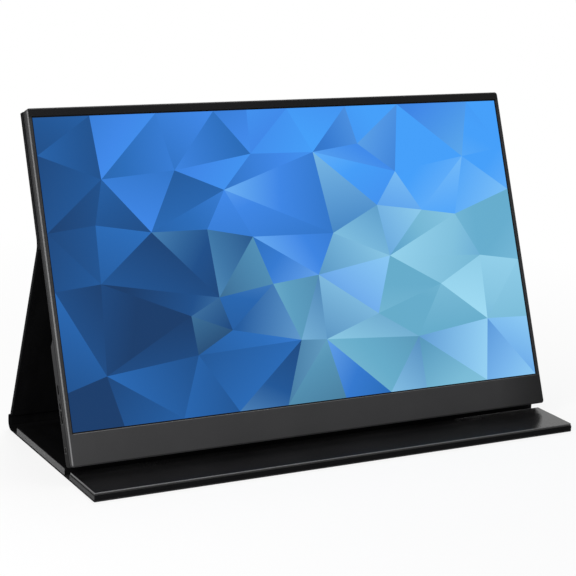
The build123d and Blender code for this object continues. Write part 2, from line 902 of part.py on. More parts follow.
def panel_magnets(clearance):
    """Magnets of the cover's upper panel, or their pockets when a clearance is given."""
    front = edge_thickness + panel_pad_thickness
    half_length = panel_magnet_size[0] / 2 + clearance
    half_height = panel_magnet_size[2] / 2 + clearance
    middle = (back_fold_height + monitor_high) / 2
    depth = (front, front + panel_magnet_size[1] + clearance)
    z = (middle - half_height, middle + half_height)
    middles = [share * cover_width / 2 for share in panel_magnet_places]
    return [block((x - half_length, x + half_length), depth, z) for x in middles]


def back_panel_board():
    """Stiff board of the upper panel, with pockets for its magnets."""
    board = panel_sheet(edge_thickness + panel_pad_thickness, panel_skin_front, fold_gap)
    return board - panel_magnets(magnet_clearance)


def back_panel_skin():
    """Outer leather of the upper panel, down to the fold."""
    low_gap = skin_thickness / 2 + fold_clearance
    return panel_sheet(panel_skin_front, panel_skin_front + skin_thickness, low_gap)


def build():
    """All pieces of the part by name, in their places."""
    pad_back = edge_thickness + panel_pad_thickness
    upright = {
        "front_frame": front_frame(),
        "rear_shell": rear_shell(),
        "screen_film": screen_film(),
        "lcd_cell": lcd_cell(),
        "optical_films": light_stack(optics_front, guide_front),
        "light_guide": light_stack(guide_front, reflector_front),
        "reflector_sheet": light_stack(reflector_front, tray_front),
        "led_bar": led_bar(),
        "panel_tray": panel_tray(),
        "driver_board": driver_board(),
        "panel_flexes": panel_flexes(),
        "main_board": main_board(),
        "side_port_board": side_port_board(),
        "usb_c_port_left": socket(-1, usb_height, usb_outer, usb_opening, usb_tongue),
        "usb_c_port_right": socket(1, usb_height, usb_outer, usb_opening, usb_tongue),
        "mini_hdmi_port": socket(1, hdmi_height, hdmi_outer, hdmi_opening, hdmi_tongue),
        "headphone_jack": headphone_jack(),
        "button_board": button_board(),
        "control_switches": control_switches(),
        "status_light": status_light(),
        "power_button": power_button(),
        "menu_rocker": menu_rocker(),
        "rocker_pin": rocker_pin(),
        "video_processor": video_processor(),
        "heat_spreader": heat_spreader(),
        "display_cable": display_cable(),
        "link_cable": link_cable(),
        "speaker_left": speaker(-1),
        "speaker_right": speaker(1),
        "speaker_leads": speaker_leads(),
        "lower_steel_strip": lower_steel_strip(),
        "cover_plate": cover_plate(),
        "case_screws": case_screws(),
        "board_screws": board_screws(),
        "hump_feet": hump_feet(),
        "back_panel_pad": panel_sheet(edge_thickness, pad_back, fold_gap),
        "back_panel_board": back_panel_board(),
        "back_panel_magnets": panel_magnets(0),
        "back_panel_skin": back_panel_skin(),
    }
    leg = {"leg_skin": leg_skin(), "leg_board": leg_board(), "leg_lining": leg_lining()}
    base = {
        "rear_floor_skin": rear_floor_skin(),
        "rear_floor_board": rear_floor_board(),
        "rear_floor_lining": rear_floor_lining(),
        "floor_magnets": floor_magnets(),
        "flap_skin": flap_skin(),
        "flap_board": flap_board(),
        "flap_pad": flap_pad(),
        "flap_magnets": flap_magnets(),
        "spine_skin": spine_skin(),
        "spine_board": spine_board(),
    }
    placed = {name: place_all(shape, tilted) for name, shape in upright.items()}
    placed.update({name: place_all(shape, on_leg) for name, shape in leg.items()})
    placed.update({name: place_all(shape, lambda part: part) for name, shape in base.items()})
    return placed


def place_all(shape, move):
    """One shape, or a group of separate solids, moved to its place."""
    if isinstance(shape, list):
        return Compound(children=[move(piece) for piece in shape])
    return move(shape)


def main():
    os.makedirs("parts", exist_ok=True)
    for name, shape in build().items():
        export_step(shape, f"parts/{name}.step")
    print("screen_y", round(screen_y, 4), "screen_z", round(screen_z, 4))
    print("spine_y", round(spine_y, 4), "spine_low", spine_low, "leg_axis_z", leg_axis_z)
    print("leg_lean", round(leg_lean, 4), "flap_axis_y", round(flap_axis_y, 4), "front_y", round(front_y, 4))


main()
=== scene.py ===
import json
import random
from math import atan2, cos, pi, radians, sin

import bmesh
import bpy
from mathutils import Matrix, Vector
from mathutils.geometry import delaunay_2d_cdt


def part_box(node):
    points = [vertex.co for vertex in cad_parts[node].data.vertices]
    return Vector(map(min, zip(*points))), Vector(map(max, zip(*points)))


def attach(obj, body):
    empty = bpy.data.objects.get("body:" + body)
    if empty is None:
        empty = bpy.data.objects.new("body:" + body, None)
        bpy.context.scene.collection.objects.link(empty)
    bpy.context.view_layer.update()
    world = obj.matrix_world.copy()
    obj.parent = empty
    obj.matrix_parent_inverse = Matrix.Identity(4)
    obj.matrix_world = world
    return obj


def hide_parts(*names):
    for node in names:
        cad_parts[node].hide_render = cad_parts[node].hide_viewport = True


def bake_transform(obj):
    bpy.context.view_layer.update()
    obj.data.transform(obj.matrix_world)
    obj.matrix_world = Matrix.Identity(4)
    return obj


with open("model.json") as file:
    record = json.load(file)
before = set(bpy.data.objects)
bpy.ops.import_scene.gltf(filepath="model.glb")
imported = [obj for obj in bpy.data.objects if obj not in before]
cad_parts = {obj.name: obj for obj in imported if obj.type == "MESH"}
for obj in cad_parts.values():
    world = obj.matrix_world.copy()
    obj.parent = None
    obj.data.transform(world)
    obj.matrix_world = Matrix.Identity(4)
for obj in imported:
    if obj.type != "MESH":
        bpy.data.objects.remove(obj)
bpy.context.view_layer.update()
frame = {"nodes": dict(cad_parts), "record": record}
nodes = frame["nodes"]
joints = {joint["name"]: joint for joint in frame["record"]["behaviour"]["joints"]}

# Sizes of the monitor and its cover, as in the part
MM = 0.001
TILT = radians(22)
PICTURE = (344.2 * MM, 193.6 * MM)
MONITOR_SIDE = 175.5 * MM
MONITOR_HIGH = 199.5 * MM
CHAMFER = 0.8 * MM
FILM_FRONT = 0.9 * MM
FILM_BACK = 1.1 * MM
FILM_REACH = 1.4 * MM
COVER_SIDE = 175.2 * MM
COVER_TOP = MONITOR_HIGH - 0.4 * MM
LEATHER = 1.0 * MM
GROOVE = 8.0 * MM
FOLD_HEIGHT = 116.5 * MM
FOLD_DEPTH = 11.8 * MM
FOLD_GAP = 3.0 * MM
PAD_INSET = 0.5 * MM
FLAP_CORNERS = (1.0 * MM, 1.8 * MM)

# How meshes are rounded and shaded: a larger face than FLAT_AREA (in square metres) is shaded flat
BOARD_ROUNDING = 0.4 * MM
LEATHER_ROUNDING = 0.25 * MM
SPINE_ROUNDING = 0.2 * MM
SHARP_ANGLE = radians(30)
SMOOTH_ANGLE = radians(35)
FLAT_AREA = 0.0007

# Fold lines of the cover and the lower edge of the picture, each by its point in the middle
spine_low = Vector(joints["cover_open"]["pos_m"])
spine_high = Vector(joints["leg_fold"]["pos_m"])
back_fold = Vector(joints["back_fold"]["pos_m"])
flap_fold = Vector(joints["flap_fold"]["pos_m"])
fold_behind_picture = FOLD_HEIGHT * sin(TILT) + FOLD_DEPTH * cos(TILT)
fold_above_picture = FOLD_HEIGHT * cos(TILT) - FOLD_DEPTH * sin(TILT)
picture_low = back_fold - Vector((0, fold_behind_picture, fold_above_picture))
leg_run = back_fold - spine_high
LEG_LEAN = atan2(-leg_run.y, leg_run.z)
LEG_LENGTH = leg_run.length

# The same in side view, where a point or a direction is (y, z), and how far behind its axis the
# leather of the spine has its middle
leg_root = Vector((spine_high.y, spine_high.z))
leg_up = Vector((-sin(LEG_LEAN), cos(LEG_LEAN)))
panel_root = Vector((back_fold.y, back_fold.z))
panel_up = Vector((sin(TILT), cos(TILT)))
SPINE_BACK = 2.3 * MM

on_monitor = Matrix.Translation(picture_low) @ Matrix.Rotation(-TILT, 4, "X")
on_leg = Matrix.Translation(spine_high) @ Matrix.Rotation(LEG_LEAN, 4, "X")

FLAP_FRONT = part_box("flap_board")[0][1]
PAD_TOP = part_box("flap_pad")[1][2]

# The leather's grain lies at a slant. The scales count the cells or grains to a metre.
GRAIN_TURN = (0.0, 0.0, radians(38))
COVER_GRAIN = 1050.0
EDGE_GRAIN = 1300.0
FRONT_GRAIN = 2600.0
SHELL_GRAIN = 1500.0

# Picture of flat facets
PICTURE_SEED = 47
FACET_COLUMNS, FACET_ROWS = 9, 5
SCATTER_ACROSS, SCATTER_UP = 0.38, 0.40
PIXEL_PITCH = 0.54 * MM

# Camera fitted to the photo: its focal length in the photo's pixels, its turns, its height and its
# place from the lower edge of the picture
PHOTO_WIDTH = 576
FOCAL_PIXELS = 1788.06
SENSOR_WIDTH = 36.0
CAMERA_YAW, CAMERA_PITCH, CAMERA_ROLL = radians(29.640), radians(14.305), radians(2.724)
CAMERA_LEFT, CAMERA_FRONT, CAMERA_HEIGHT = 0.567276, 0.946493, 0.385258


# Shader helpers


class Shader:
    """Short ways to add and join the nodes of one tree."""

    def __init__(self, tree):
        self.tree = tree

    def add(self, kind, values=None, **settings):
        node = self.tree.nodes.new(kind)
        for name, value in settings.items():
            setattr(node, name, value)
        for name, value in (values or {}).items():
            self.feed(node.inputs[name], value)
        return node

    def feed(self, socket, value):
        if isinstance(value, bpy.types.NodeSocket):
            self.tree.links.new(value, socket)
        else:
            socket.default_value = value

    def math(self, operation, first, second=0.0, third=0.0):
        node = self.add("ShaderNodeMath", operation=operation)
        for socket, value in zip(node.inputs, (first, second, third)):
            self.feed(socket, value)
        return node.outputs[0]

    def both(self, first, second):
        return self.math("MULTIPLY", first, second)

    def either(self, first, second):
        return self.math("MAXIMUM", first, second)

    def position(self, turn=(0, 0, 0), stretch=(1, 1, 1), shift=(0, 0, 0)):
        place = self.add("ShaderNodeTexCoord").outputs["Object"]
        values = {"Vector": place, "Location": shift, "Rotation": turn, "Scale": stretch}
        return self.add("ShaderNodeMapping", values).outputs[0]

    def noise(self, vector, scale, detail=3.0, roughness=0.5):
        values = {"Vector": vector, "Scale": scale, "Detail": detail, "Roughness": roughness}
        return self.add("ShaderNodeTexNoise", values).outputs["Fac"]

    def cells(self, vector, scale, feature="DISTANCE_TO_EDGE"):
        values = {"Vector": vector, "Scale": scale}
        return self.add("ShaderNodeTexVoronoi", values, feature=feature).outputs["Distance"]

    def spread(self, value, low, high, out_low=0.0, out_high=1.0):
        limits = {"From Min": low, "From Max": high, "To Min": out_low, "To Max": out_high}
        return self.add("ShaderNodeMapRange", {"Value": value, **limits}).outputs["Result"]

    def mix(self, factor, first, second, blend="MIX"):
        node = self.add("ShaderNodeMix", data_type="RGBA", blend_type=blend)
        self.feed(node.inputs[0], factor)
        self.feed(node.inputs[6], first)
        self.feed(node.inputs[7], second)
        return node.outputs[2]

    def split(self, vector):
        return self.add("ShaderNodeSeparateXYZ", {"Vector": vector}).outputs

    def bump(self, height, depth):
        values = {"Height": height, "Distance": depth, "Strength": 1.0}
        return self.add("ShaderNodeBump", values).outputs["Normal"]

    def group(self, tree, values):
        node = self.add("ShaderNodeGroup")
        node.node_tree = tree
        for name, value in values.items():
            self.feed(node.inputs[name], value)
        return node.outputs


def grey(level, blue=None):
    """Neutral colour, or one with its own level of blue."""
    return (level, level, level if blue is None else blue, 1.0)


def cleared(owner):
    """Shader on the emptied node tree of a material or world."""
    owner.use_nodes = True
    owner.node_tree.nodes.clear()
    return Shader(owner.node_tree)


def grain_group(name):
    """Empty group that takes a place and a scale, and puts out a height and a tone."""
    tree = bpy.data.node_groups.new(name, "ShaderNodeTree")
    tree.interface.new_socket("Vector", in_out="INPUT", socket_type="NodeSocketVector")
    for label, way in (("Scale", "INPUT"), ("Height", "OUTPUT"), ("Tone", "OUTPUT")):
        tree.interface.new_socket(label, in_out=way, socket_type="NodeSocketFloat")
    s = Shader(tree)
    return tree, s, s.add("NodeGroupInput").outputs, s.add("NodeGroupOutput").inputs


def leather_grain_group():
    """Pebbled grain with fine pores, and a slow change of tone."""
    tree, s, given, out = grain_group("leather_grain")
    drift = s.noise(given["Vector"], 260.0, 2.0)
    pebbles = s.spread(s.cells(given["Vector"], given["Scale"]), 0.0, 0.35)
    fine_scale = s.math("MULTIPLY", given["Scale"], 2.6)
    pores = s.noise(given["Vector"], fine_scale, 2.0)
    height = s.math("MULTIPLY_ADD", pores, 0.45, pebbles)
    s.feed(out["Height"], s.math("MULTIPLY_ADD", drift, 0.6, height))
    slow = s.math("MULTIPLY", s.noise(given["Vector"], 28.0, 4.0), 0.65)
    s.feed(out["Tone"], s.math("MULTIPLY_ADD", pebbles, 0.35, slow))
    return tree


def moulded_grain_group():
    """Fine spark texture of moulded plastic, with faint handling marks."""
    tree, s, given, out = grain_group("moulded_grain")
    fine = s.noise(given["Vector"], given["Scale"], 3.0, 0.6)
    coarse = s.noise(given["Vector"], s.math("MULTIPLY", given["Scale"], 0.3), 2.0)
    s.feed(out["Height"], s.math("MULTIPLY_ADD", coarse, 0.5, fine))
    slow = s.math("MULTIPLY", s.noise(given["Vector"], 22.0, 5.0, 0.6), 0.6)
    s.feed(out["Tone"], s.math("MULTIPLY_ADD", fine, 0.4, slow))
    return tree


def metal_grain_group():
    """Rolling lines of thin metal along X."""
    tree, s, given, out = grain_group("metal_grain")
    squeezed = s.add("ShaderNodeMapping", {"Vector": given["Vector"], "Scale": (0.02, 1.0, 1.0)})
    lines = s.noise(squeezed.outputs[0], given["Scale"], 3.0, 0.6)
    patches = s.math("MULTIPLY", s.noise(given["Vector"], 45.0, 3.0), 0.5)
    s.feed(out["Height"], lines)
    s.feed(out["Tone"], s.math("MULTIPLY_ADD", lines, 0.5, patches))
    return tree


leather_grain = leather_grain_group()
moulded_grain = moulded_grain_group()
metal_grain = metal_grain_group()


def material(name, roughness, specular, metallic=0.0):
    """New material with a surface shader, ready for its nodes."""
    made = bpy.data.materials.new(name)
    s = cleared(made)
    constants = {"Roughness": roughness, "Specular IOR Level": specular, "Metallic": metallic}
    surface = s.add("ShaderNodeBsdfPrincipled", constants)
    s.add("ShaderNodeOutputMaterial", {"Surface": surface.outputs[0]})
    return made, s, surface.inputs


def grained(s, group, scale, turn=(0, 0, 0)):
    """Height and tone of a grain group, and the tone drawn out to its full range for colours."""
    grain = s.group(group, {"Vector": s.position(turn), "Scale": scale})
    return grain["Height"], grain["Tone"], s.spread(grain["Tone"], 0.25, 0.75)


def roughness_from(s, tone, low, high):
    """Roughness between two limits that follows the tone of a grain."""
    return s.spread(tone, 0.2, 0.8, low, high)


def textured(
    name, group, low, high, rough, depth, scale, turn=(0, 0, 0), specular=0.5, metallic=0.0
):
    """Material whose colour, roughness and relief follow one of the grain groups."""
    made, s, surface = material(name, rough[0], specular, metallic)
    height, tone, full_tone = grained(s, group, scale, turn)
    s.feed(surface["Base Color"], s.mix(full_tone, low, high))
    s.feed(surface["Roughness"], roughness_from(s, tone, *rough))
    s.feed(surface["Normal"], s.bump(height, depth))
    return made


# Finishes


def cover_leather(name, specular):
    """Black leather with a fine slanting grain, plain and matte at its ends and in the spine, where
    its colour is also darkened as painted shade.
    """
    made, s, surface = material(name, 0.5, specular)
    height, tone, full_tone = grained(s, leather_grain, COVER_GRAIN, GRAIN_TURN)
    across, along, rise = s.split(s.position())
    outward = s.math("ABSOLUTE", across)
    cut_end = s.spread(outward, COVER_SIDE - 0.4 * MM, COVER_SIDE - 0.2 * MM)
    in_from_back = s.spread(along, spine_low.y + 2.5 * MM, spine_low.y + 2.1 * MM)
    in_from_front = s.spread(along, spine_low.y - 11.0 * MM, spine_low.y - 10.6 * MM)
    in_from_top = s.spread(rise, 13.0 * MM, 12.0 * MM)
    in_spine = s.both(s.both(in_from_back, in_from_front), in_from_top)
    # Painted shade: the ends and the crease of the spine are painted darker as well as made matte
    matte = s.either(cut_end, in_spine)
    outer = s.mix(full_tone, grey(0.0060, 0.0063), grey(0.0190, 0.0198))
    s.feed(surface["Base Color"], s.mix(matte, outer, grey(0.0024, 0.0026)))
    rough = roughness_from(s, tone, 0.42, 0.58)
    s.feed(surface["Roughness"], s.math("MULTIPLY_ADD", matte, 0.4, rough))
    s.feed(surface["Normal"], s.bump(height, 0.08 * MM))
    return made


def turned_leather():
    """Matte black leather turned round the boards of the leg and the upper panel, a darker copy of
    the cover leather whose darkness is painted shade.
    """
    return textured(
        "turned_leather",
        leather_grain,
        grey(0.0022, 0.0024),
        grey(0.0075, 0.0080),
        (0.62, 0.76),
        0.08 * MM,
        COVER_GRAIN,
        GRAIN_TURN,
        specular=0.03,
    )


def pad_leather():
    """Polished leather of the flap's pad, which mirrors the screen, with a painted highlight along
    its upper rim and painted light on its ends.
    """
    made, s, surface = material("pad_leather", 0.19, 0.30)
    height, tone, full_tone = grained(s, leather_grain, COVER_GRAIN, GRAIN_TURN)
    across, along, rise = s.split(s.position())
    outward = s.math("ABSOLUTE", across)
    # Painted highlight: a pale line along the upper edge of the pad's sides and front
    side_edge = s.spread(outward, COVER_SIDE - 1.0 * MM, COVER_SIDE - 0.6 * MM)
    front_edge = s.spread(along, FLAP_FRONT + 1.4 * MM, FLAP_FRONT + 0.8 * MM)
    upper_edge = s.spread(rise, PAD_TOP - 0.6 * MM, PAD_TOP - 0.4 * MM)
    rim = s.both(s.either(side_edge, front_edge), upper_edge)
    rim = s.both(rim, s.spread(tone, 0.2, 0.6, 0.7, 1.0))
    # Painted light: the pad's ends are painted paler, as if lit from the side
    pad_ends_painted_light = s.spread(outward, COVER_SIDE - 0.4 * MM, COVER_SIDE - 0.2 * MM)
    colour = s.mix(full_tone, grey(0.0030, 0.0031), grey(0.0120, 0.0124))
    colour = s.mix(pad_ends_painted_light, colour, grey(0.0240, 0.0244))
    s.feed(surface["Base Color"], s.mix(rim, colour, grey(0.105, 0.106)))
    s.feed(surface["Roughness"], roughness_from(s, tone, 0.16, 0.22))
    s.feed(surface["Normal"], s.bump(height, 0.02 * MM))
    return made


def wrapped_edge():
    """Leather pulled tight round a board, with painted light that makes its ends greyer, most of
    all the rear board's.
    """
    made, s, surface = material("wrapped_edge", 0.5, 0.03)
    height, tone, full_tone = grained(s, leather_grain, EDGE_GRAIN, GRAIN_TURN)
    across, along, _ = s.split(s.position())
    wrapped = s.mix(full_tone, grey(0.0025, 0.0028), grey(0.0075, 0.0080))
    # Painted light: the boards' ends are painted grey, as if lit from the side
    rear_ends_painted_light = s.mix(full_tone, grey(0.080, 0.0805), grey(0.132, 0.133))
    flap_ends_painted_light = s.mix(full_tone, grey(0.034, 0.0345), grey(0.056, 0.0565))
    rear = s.spread(along, flap_fold.y - 1.0 * MM, flap_fold.y + 1.0 * MM)
    cut_end = s.spread(s.math("ABSOLUTE", across), COVER_SIDE - 0.3 * MM, COVER_SIDE - 0.1 * MM)
    s.feed(surface["Base Color"], s.mix(cut_end, wrapped, s.mix(rear, flap_ends_painted_light, rear_ends_painted_light)))
    s.feed(surface["Roughness"], roughness_from(s, tone, 0.50, 0.66))
    s.feed(surface["Normal"], s.bump(height, 0.04 * MM))
    return made


def soft_lining():
    """Dark suede-like lining."""
    made, s, surface = material("soft_lining", 0.8, 0.02)
    nap = s.noise(s.position(), 2600.0, 4.0, 0.7)
    brushed = s.noise(s.position(stretch=(1.0, 0.25, 0.25)), 120.0, 3.0)
    tone = s.math("MULTIPLY_ADD", nap, 0.5, s.math("MULTIPLY", brushed, 0.5))
    colour = s.mix(s.spread(tone, 0.3, 0.7), grey(0.0010, 0.0011), grey(0.0042, 0.0045))
    s.feed(surface["Base Color"], colour)
    s.feed(surface["Roughness"], s.spread(nap, 0.2, 0.8, 0.72, 0.92))
    s.feed(surface["Normal"], s.bump(nap, 0.05 * MM))
    return made


def screen_axes(s):
    """Place across the screen, depth behind its front and height above the picture's lower edge."""
    across, y, z = s.split(s.position(shift=(0, -picture_low.y, -picture_low.z)))
    height = s.math("MULTIPLY_ADD", z, cos(TILT), s.math("MULTIPLY", y, sin(TILT)))
    depth = s.math("MULTIPLY_ADD", z, -sin(TILT), s.math("MULTIPLY", y, cos(TILT)))
    return across, depth, height


def front_plastic():
    """Satin black plastic of the front, its left chamfer pale and a light line over the chin as
    painted highlights, with a chin painted lighter and painted shade on its top, walls and the
    chin's right end.
    """
    made, s, surface = material("front_plastic", 0.5, 0.10)
    across, depth, height = screen_axes(s)
    relief, _, tone = grained(s, moulded_grain, FRONT_GRAIN)
    outward = s.math("ABSOLUTE", across)
    half_picture = PICTURE[0] / 2

    # Bezel, chin painted lighter as light falling from below, and painted shade on the part above
    # the picture
    chin = s.spread(height, -1.2 * MM, -0.8 * MM, 1.0, 0.0)
    bezel_colour = s.mix(tone, grey(0.024, 0.025), grey(0.038, 0.039))
    chin_colour = s.mix(tone, grey(0.036, 0.037), grey(0.050, 0.0515))
    colour = s.mix(chin, bezel_colour, chin_colour)
    top = s.spread(height, PICTURE[1] - 1.0 * MM, PICTURE[1] + 1.0 * MM)
    colour = s.mix(top, colour, grey(0.0055, 0.006))

    # Painted highlight: a light line between the picture and the chin
    line_low = s.spread(height, -1.3 * MM, -1.1 * MM)
    line_high = s.spread(height, -0.4 * MM, -0.2 * MM, 1.0, 0.0)
    line_end = s.spread(outward, half_picture, half_picture + 0.6 * MM, 1.0, 0.0)
    colour = s.mix(s.both(s.both(line_low, line_high), line_end), colour, grey(0.13, 0.132))

    # Painted shade on the right end of the chin and on the outer walls behind the chamfer
    chin_right_painted_shade = s.spread(across, 138.0 * MM, 174.0 * MM)
    colour = s.mix(s.both(chin_right_painted_shade, s.both(chin, 0.72)), colour, grey(0.004, 0.0043))
    walls_painted_shade = s.spread(depth, CHAMFER, CHAMFER + 0.1 * MM)
    colour = s.mix(s.both(walls_painted_shade, 0.8), colour, grey(0.006, 0.0065))

    # Glossier chamfer, with a painted highlight that is much paler on the left side
    side = s.spread(outward, MONITOR_SIDE - CHAMFER, MONITOR_SIDE - CHAMFER * 0.8)
    rim = s.both(side, s.spread(depth, CHAMFER * 0.8, CHAMFER, 1.0, 0.0))
    left = s.spread(across, -10.0 * MM, 10.0 * MM, 1.0, 0.1)
    s.feed(surface["Base Color"], s.mix(s.both(rim, left), colour, grey(0.13, 0.132)))
    matte = s.math("MULTIPLY_ADD", chin, 0.10, s.spread(tone, 0, 1, 0.42, 0.52))
    s.feed(surface["Roughness"], s.math("MULTIPLY_ADD", rim, -0.16, matte))
    s.feed(surface["Normal"], s.bump(relief, 0.012 * MM))
    return made


def shell_plastic():
    """Dark grey textured plastic of the rear shell, with painted shade that darkens it towards its
    lower edge.
    """
    made, s, surface = material("shell_plastic", 0.58, 0.06)
    height = screen_axes(s)[2]
    relief, tone, full_tone = grained(s, moulded_grain, SHELL_GRAIN)
    colour = s.mix(full_tone, grey(0.012, 0.0127), grey(0.025, 0.0264))
    # Painted shade: darker towards the lower edge
    low = s.spread(height, 20.0 * MM, -12.0 * MM)
    s.feed(surface["Base Color"], s.mix(low, colour, grey(0.004, 0.0042)))
    s.feed(surface["Roughness"], roughness_from(s, tone, 0.50, 0.66))
    s.feed(surface["Normal"], s.bump(relief, 0.03 * MM))
    return made


def key_plastic():
    """Nearly black plastic of the menu rocker and the power button."""
    dark, pale = grey(0.0008, 0.0009), grey(0.0030, 0.0032)
    return textured(
        "key_plastic", moulded_grain, dark, pale, (0.5, 0.64), 0.012 * MM, FRONT_GRAIN, specular=0.0
    )


def black_plastic():
    """Black plastic of chips, switches, speakers and the headphone socket."""
    dark, pale = grey(0.006), grey(0.016)
    return textured("black_plastic", moulded_grain, dark, pale, (0.45, 0.6), 0.02 * MM, 2000.0)


def bumper_rubber():
    """Black rubber of the bumpers."""
    dark, pale = grey(0.008), grey(0.02)
    return textured(
        "bumper_rubber", moulded_grain, dark, pale, (0.75, 0.9), 0.03 * MM, 1400.0, specular=0.2
    )


def rolled_metal(name, dark, pale, rough, depth, scale):
    """Bare metal with faint lines from rolling."""
    return textured(name, metal_grain, grey(dark), grey(pale), rough, depth, scale, metallic=1.0)


def port_shell():
    """Metal of the ports, painted dark as shade."""
    return rolled_metal("port_shell", 0.04, 0.09, (0.36, 0.5), 0.006 * MM, 3000.0)


def sheet_steel():
    """Steel of the tray, the pin, the strip and the plate."""
    return rolled_metal("sheet_steel", 0.34, 0.56, (0.3, 0.46), 0.01 * MM, 3000.0)


def screw_steel():
    """Blackened steel of the screws."""
    return rolled_metal("screw_steel", 0.03, 0.09, (0.3, 0.45), 0.01 * MM, 3000.0)


def spreader_metal():
    """Bright metal of the heat spreader."""
    return rolled_metal("spreader_metal", 0.5, 0.72, (0.3, 0.45), 0.01 * MM, 2200.0)


def magnet_metal():
    """Plated metal of the magnets."""
    return rolled_metal("magnet_metal", 0.38, 0.6, (0.25, 0.4), 0.01 * MM, 1200.0)


def circuit_board():
    """Green board with darker tracks and pale pads."""
    made, s, surface = material("circuit_board", 0.4, 0.5)
    place = s.position()
    tracks = s.spread(s.cells(place, 420.0), 0.03, 0.06)
    pads = s.spread(s.cells(place, 650.0, "F1"), 0.10, 0.14, 1.0, 0.0)
    mask = s.mix(tracks, (0.010, 0.075, 0.035, 1), (0.006, 0.038, 0.02, 1))
    s.feed(surface["Base Color"], s.mix(pads, mask, (0.6, 0.5, 0.28, 1)))
    s.feed(surface["Metallic"], pads)
    s.feed(surface["Roughness"], uneven(s, 900.0, 0.3, 0.5))
    s.feed(surface["Normal"], s.bump(s.math("ADD", tracks, pads), 0.03 * MM))
    return made


def waves(s, kind, place, pitch):
    """Wave of a set pitch along a place, from -1 to 1."""
    return s.math(kind, s.math("MULTIPLY", place, 2 * pi / pitch))


def uneven(s, scale, low, high):
    """Roughness that wanders between two limits from patch to patch."""
    return s.spread(s.noise(s.position(), scale), 0.3, 0.7, low, high)


def amber_film():
    """Flexible amber cable with fine copper lines."""
    made, s, surface = material("amber_film", 0.3, 0.5)
    across = s.split(s.position())[0]
    copper = s.spread(waves(s, "SINE", across, 1.1 * MM), 0.1, 0.4)
    colour = s.mix(copper, (0.30, 0.12, 0.02, 1), (0.13, 0.045, 0.012, 1))
    s.feed(surface["Base Color"], colour)
    s.feed(surface["Roughness"], uneven(s, 700.0, 0.24, 0.42))
    s.feed(surface["Normal"], s.bump(copper, 0.02 * MM))
    return made


def lamp_strip():
    """White strip with yellow lamps at an even pitch."""
    made, s, surface = material("lamp_strip", 0.45, 0.4)
    across = s.split(s.position())[0]
    lamp_count = 36
    lamp = s.spread(waves(s, "COSINE", across, PICTURE[0] / lamp_count), -0.4, -0.2)
    s.feed(surface["Base Color"], s.mix(lamp, grey(0.7, 0.68), (0.8, 0.62, 0.12, 1)))
    s.feed(surface["Roughness"], uneven(s, 900.0, 0.4, 0.6))
    return made


def panel_glass():
    """Thin glass of the display with a faint column pattern."""
    made, s, surface = material("panel_glass", 0.12, 0.5)
    across = s.split(s.position())[0]
    columns = s.spread(waves(s, "SINE", across, 0.6 * MM), -1, 1)
    s.feed(surface["Base Color"], s.mix(columns, (0.02, 0.025, 0.03, 1), (0.05, 0.055, 0.06, 1)))
    s.feed(surface["Roughness"], uneven(s, 60.0, 0.08, 0.16))
    return made


def milky_film(name, low, high, roughness):
    """Pale film of the backlight with a fine haze of dots."""
    made, s, surface = material(name, roughness, 0.5)
    place = s.position()
    dots = s.spread(s.cells(place, 800.0, "F1"), 0.2, 0.5)
    haze = s.noise(place, 30.0, 4.0)
    tone = s.math("MULTIPLY_ADD", dots, 0.5, s.math("MULTIPLY", haze, 0.5))
    s.feed(surface["Base Color"], s.mix(tone, low, high))
    s.feed(surface["Roughness"], s.spread(haze, 0.3, 0.7, roughness - 0.06, roughness + 0.06))
    s.feed(surface["Normal"], s.bump(dots, 0.01 * MM))
    return made


def clear_rod():
    """Smoked rod of the status light, not lit."""
    made, s, surface = material("clear_rod", 0.3, 0.01)
    haze = s.noise(s.position(), 1500.0, 2.0)
    s.feed(surface["Base Color"], s.mix(haze, (0.002, 0.0025, 0.003, 1), (0.006, 0.007, 0.009, 1)))
    s.feed(surface["Roughness"], s.spread(haze, 0.3, 0.7, 0.22, 0.4))
    return made


